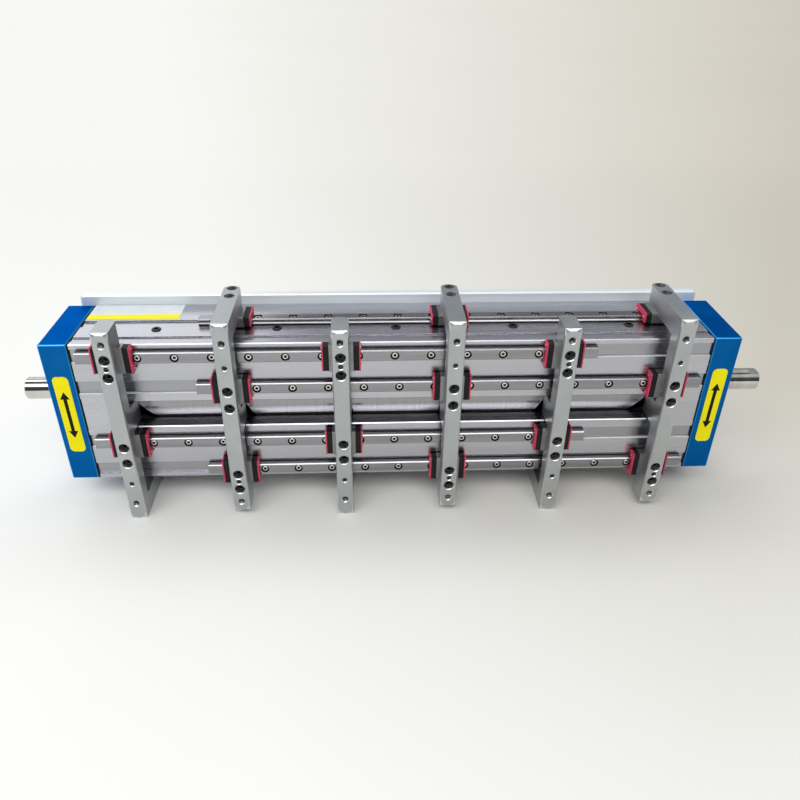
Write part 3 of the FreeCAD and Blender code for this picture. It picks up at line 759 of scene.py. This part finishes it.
carriageScrew = {
    "Foot Radius": 1.9, "Head Radius": 1.9, "Head Height": 2.0, "Chamfer": 0.18, "Knurl": 0.02,
    "Socket Size": 0.8, "Socket Depth": 1.1, "Shank Radius": 1.0, "Shank Length": 5.0, "Seed": 3}
railScrew = {
    "Foot Radius": 1.25, "Head Radius": 1.25, "Head Height": 0.9, "Chamfer": 0.15, "Knurl": 0.02,
    "Socket Size": 0.66, "Socket Depth": 0.6, "Shank Radius": 0.9, "Shank Length": 0.05, "Seed": 5}
setScrew = {
    "Foot Radius": 1.98, "Head Radius": 1.98, "Head Height": 4.9, "Chamfer": 0.25, "Knurl": 0.0,
    "Socket Size": 1.0, "Socket Depth": 2.0, "Shank Radius": 1.2, "Shank Length": 0.05, "Seed": 7,
    "standsOut": 0.9}
baseScrew = {
    "Foot Radius": 2.0, "Head Radius": 3.98, "Head Height": 2.0, "Chamfer": 0.1, "Knurl": 0.0,
    "Socket Size": 1.25, "Socket Depth": 1.5, "Shank Radius": 2.0, "Shank Length": 10.0, "Seed": 9}
blockScrew = {
    "Foot Radius": 3.5, "Head Radius": 3.5, "Head Height": 4.0, "Chamfer": 0.3, "Knurl": 0.02,
    "Socket Size": 1.5, "Socket Depth": 2.2, "Shank Radius": 2.0, "Shank Length": 16.9, "Seed": 11}
sealScrew = {
    "Foot Radius": 0.55, "Head Radius": 0.55, "Head Height": 0.3, "Chamfer": 0.1, "Knurl": 0.0,
    "Socket Size": 0.2, "Socket Depth": 0.15, "Shank Radius": 0.3, "Shank Length": 0.4, "Seed": 13,
    "sideShare": 0.36}

legHeight = 40 * mm  # carriage screws beyond this stand upright, in a bar's leg


def headPlaces(name, facingOf, settings):
    # Feet of the heads, which end at the CAD screw's outer end or stand out from it.
    sunk = (settings["Head Height"] - settings.get("standsOut", 0.0)) * mm
    places = []
    for low, high in solidBoxes(name):
        facing = facingOf((low + high) / 2)
        places.append((outerEnd(low, high, facing) - facing * sunk, facing))
    return places


def addScrews(name, node, body, facingOf, settings, finish):
    places = headPlaces(node, facingOf, settings)
    piece = bakeRepeats(name, screws, places, settings, finish)
    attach(piece, body)
    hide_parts(node)
    return len(places)


def toFront(place):
    return frontward


def toBack(place):
    return backward


def toNearEnd(place):
    return Vector((math.copysign(1, place.x), 0, 0))


def awayFromCarriage(place):
    return upOrDown(place) if abs(place.z) > legHeight else frontward


def addFrameScrews():
    rows = (("frontRailScrews", "front_rail_screws", toFront, railScrew, platedScrew, "rail_screw"),
            ("sideRailScrews", "side_rail_screws", upOrDown, railScrew, platedScrew, "rail_screw"),
            ("setScrews", "set_screws", upOrDown, setScrew, blackOxide, "black_screw"),
            ("baseScrews", "base_screws", toBack, baseScrew, blackOxide, "black_screw"),
            ("endBlockScrews", "end_block_screws", toNearEnd, blockScrew, blackOxide, "black_screw"))
    count = 0
    for name, node, facingOf, settings, finish, slotName in rows:
        count += addScrews(name, node, "frame", facingOf, settings, finish)
    return count


def sealScrewPlaces(k):
    # Two screws in each seal, one on either side of the rail.
    barMiddle = sum(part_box("slider_bar_%d" % k), Vector()).x / 2
    places = []
    for low, high in solidBoxes("carriage_seals_%d" % k):
        middle = (low + high) / 2
        facing = Vector((math.copysign(1, middle.x - barMiddle), 0, 0))
        size = high - low
        across = Vector((0, 0, 1)) if size.z > size.y else Vector((0, 1, 0))
        reach = max(size.y, size.z) * sealScrew["sideShare"]
        face = outerEnd(low, high, facing)
        for side in (-1, 1):
            places.append((face + across * side * reach, facing))
    return places


def addCarriageScrews():
    count = 0
    for k in sliders:
        body = "slider_%d" % k
        count += addScrews("carriageScrews.%d" % k, "carriage_screws_%d" % k, body, awayFromCarriage,
                           carriageScrew, blackOxide)
        places = sealScrewPlaces(k)
        piece = bakeRepeats("sealScrews.%d" % k, screws, places, sealScrew, platedScrew)
        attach(piece, body)
        count += len(places)
    return count


# Painted shade: dark rings between the rail screws and their counterbores, standing for the bore's shade

railBoreShade = {"Inner": 1.27, "Outer": 1.84, "Depth": 0.9, "Seed": 15, "corners": 32}


def boreShadeTree(settings):
    tree, sizes = startTree("railBoreShade", ("Inner", "Outer", "Depth"))
    middle = mathNode(tree, "MULTIPLY", mathNode(tree, "ADD", sizes["Inner"], sizes["Outer"]), 0.5)
    circle = addNode(tree, "GeometryNodeCurvePrimitiveCircle", {"Resolution": settings["corners"],
                                                                "Radius": middle})
    wall = mathNode(tree, "SUBTRACT", sizes["Outer"], sizes["Inner"])
    section = addNode(tree, "GeometryNodeCurvePrimitiveQuadrilateral", {"Width": wall,
                                                                        "Height": sizes["Depth"]})
    ring = addNode(tree, "GeometryNodeCurveToMesh", {"Curve": circle.outputs["Curve"],
                                                     "Profile Curve": section.outputs["Curve"]})
    raised = moveAlong(tree, ring.outputs["Mesh"], mathNode(tree, "MULTIPLY", sizes["Depth"], 0.5))
    setOnPlaces(tree, sizes, raised)
    return tree


def addBoreShades(settings):
    places = headPlaces("front_rail_screws", toFront, railScrew)
    places += headPlaces("side_rail_screws", upOrDown, railScrew)
    # The rings take the dark rubber finish, which paints the bore's shade.
    piece = bakeRepeats("railBoreShadeRings", boreShadeTree(settings), places, settings, gasketRubberAndBoreShade)
    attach(piece, "frame")
    return len(places)


# Threads of the tool holes, which start a little below the front face

holeThread = {"Radius": 1.45, "Pitch": 0.5, "Turns": 10.0, "Wire": 0.16, "Seed": 1,
              "start": 0.35, "turnCorners": 20, "wireCorners": 4}


def threadTree(settings):
    tree, sizes = startTree("holeThread", ("Radius", "Pitch", "Turns", "Wire"))
    length = mathNode(tree, "MULTIPLY", sizes["Pitch"], sizes["Turns"])
    coil = addNode(tree, "GeometryNodeCurveSpiral", {"Resolution": settings["turnCorners"],
                                                     "Rotations": sizes["Turns"],
                                                     "Start Radius": sizes["Radius"],
                                                     "End Radius": sizes["Radius"],
                                                     "Height": mathNode(tree, "MULTIPLY", length, -1.0)})
    wire = addNode(tree, "GeometryNodeCurvePrimitiveCircle", {"Resolution": settings["wireCorners"],
                                                              "Radius": sizes["Wire"]})
    ridge = addNode(tree, "GeometryNodeCurveToMesh", {"Curve": coil.outputs["Curve"],
                                                      "Profile Curve": wire.outputs["Curve"],
                                                      "Fill Caps": True})
    setOnPlaces(tree, sizes, ridge.outputs["Mesh"])
    return tree


def addThreads(settings):
    threads = threadTree(settings)
    for mount in frame["record"]["mounts"]:
        if not mount["name"].startswith("tool_holes_"):
            continue
        k = mount["name"][-1]
        reach = mount["dims"]["spacing_y_mm"] / 2 * mm
        centre = Vector(mount["pos_m"]) - frontward * settings["start"] * mm
        places = [(centre + Vector((0, 0, side * reach)), frontward) for side in (-1, 1)]
        piece = bakeRepeats("holeThreads." + k, threads, places, settings, cutThread)
        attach(piece, "slider_" + k)


# Stickers

def plate(name, corners, thickness, place, finish):
    # Flat closed plate from an outline; place maps its (across, along, height) to the frame.
    mesh = bmesh.new()
    lower = [mesh.verts.new(place(across, along, 0.0)) for across, along in corners]
    upper = [mesh.verts.new(place(across, along, thickness)) for across, along in corners]
    mesh.faces.new(lower)
    mesh.faces.new(upper)
    count = len(corners)
    for i in range(count):
        mesh.faces.new((lower[i], lower[(i + 1) % count], upper[(i + 1) % count], upper[i]))
    bmesh.ops.recalc_face_normals(mesh, faces=mesh.faces)
    data = bpy.data.meshes.new(name)
    mesh.to_mesh(data)
    mesh.free()
    data.materials.append(finish)
    return addPiece(name, data)


def roundedOutline(width, length, radius, steps=6):
    corners = []
    for signAcross, signAlong, start in ((1, 1, 0), (-1, 1, 90), (-1, -1, 180), (1, -1, 270)):
        for i in range(steps + 1):
            angle = math.radians(start + 90 * i / steps)
            corners.append((signAcross * (width / 2 - radius) + radius * math.cos(angle),
                            signAlong * (length / 2 - radius) + radius * math.sin(angle)))
    return corners


def arrowOutline(length, stem, headWidth, headLength):
    neck = length / 2 - headLength
    right = [(0, length / 2), (headWidth / 2, neck), (stem / 2, neck),
             (stem / 2, -neck), (headWidth / 2, -neck)]
    return right + [(-across, -along) for across, along in right]


turnSticker = {
    "width": 6.6 * mm,
    "length": 37.8 * mm,
    "corner": 2.0 * mm,
    "film": 0.08 * mm,
    "ink": 0.02 * mm,
    "arrow": 23.2 * mm,
    "arrowStem": 1.5 * mm,
    "arrowHeadWidth": 4.0 * mm,
    "arrowHeadLength": 3.6 * mm,
}


def onFront(node, lift):
    low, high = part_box(node)
    middle = (low + high) / 2
    return lambda across, along, height: (middle.x + across, low.y - lift - height, middle.z + along)


def addTurnStickers(settings):
    label = roundedOutline(settings["width"], settings["length"], settings["corner"])
    pointer = arrowOutline(settings["arrow"], settings["arrowStem"], settings["arrowHeadWidth"],
                           settings["arrowHeadLength"])
    for side in ("left", "right"):
        block = "end_block_" + side
        film = plate("turnSticker." + side, label, settings["film"], onFront(block, 0.0), yellowFilm)
        arrow = plate("turnArrow." + side, pointer, settings["ink"], onFront(block, settings["film"]),
                      blackInk)
        for piece in (film, arrow):
            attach(piece, "frame")


# Blank two-tone sticker on top of the body, beside the left end block
bodySticker = {
    "start": 0.6 * mm,
    "length": 39.4 * mm,
    "field": 10.0 * mm,
    "band": 4.5 * mm,
    "gap": 0.4 * mm,
    "film": 0.08 * mm,
    "corner": 0.4 * mm,
}


def onTop(middleX, middleY, top):
    return lambda across, along, height: (middleX + across, middleY + along, top + height)


def addBodySticker(settings):
    bodyLow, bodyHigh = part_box("main_body")
    middleX = bodyLow.x + settings["start"] + settings["length"] / 2
    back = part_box("base_plate")[0].y - settings["gap"]
    seam = back - settings["field"]
    rows = (("bodyStickerField", settings["field"], back - settings["field"] / 2, whiteFilm),
            ("bodyStickerBand", settings["band"], seam - settings["band"] / 2, yellowFilm))
    for name, depth, middleY, finish in rows:
        outline = roundedOutline(settings["length"], depth, settings["corner"])
        piece = plate(name, outline, settings["film"], onTop(middleX, middleY, bodyHigh.z), finish)
        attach(piece, "frame")


aimCamera(photoCamera)
layFloor(floorPlan)
hangLamps(lamps)
lightRoom(room)
bpy.context.scene.view_settings.view_transform = "Standard"
print("stage set")

dressFrame()
print("frame dressed")

print("frame screws:", addFrameScrews())
print("slider screws:", addCarriageScrews())
print("rail bore shade rings:", addBoreShades(railBoreShade))

addThreads(holeThread)
print("threads cut")

addTurnStickers(turnSticker)
addBodySticker(bodySticker)
print("stickers laid")
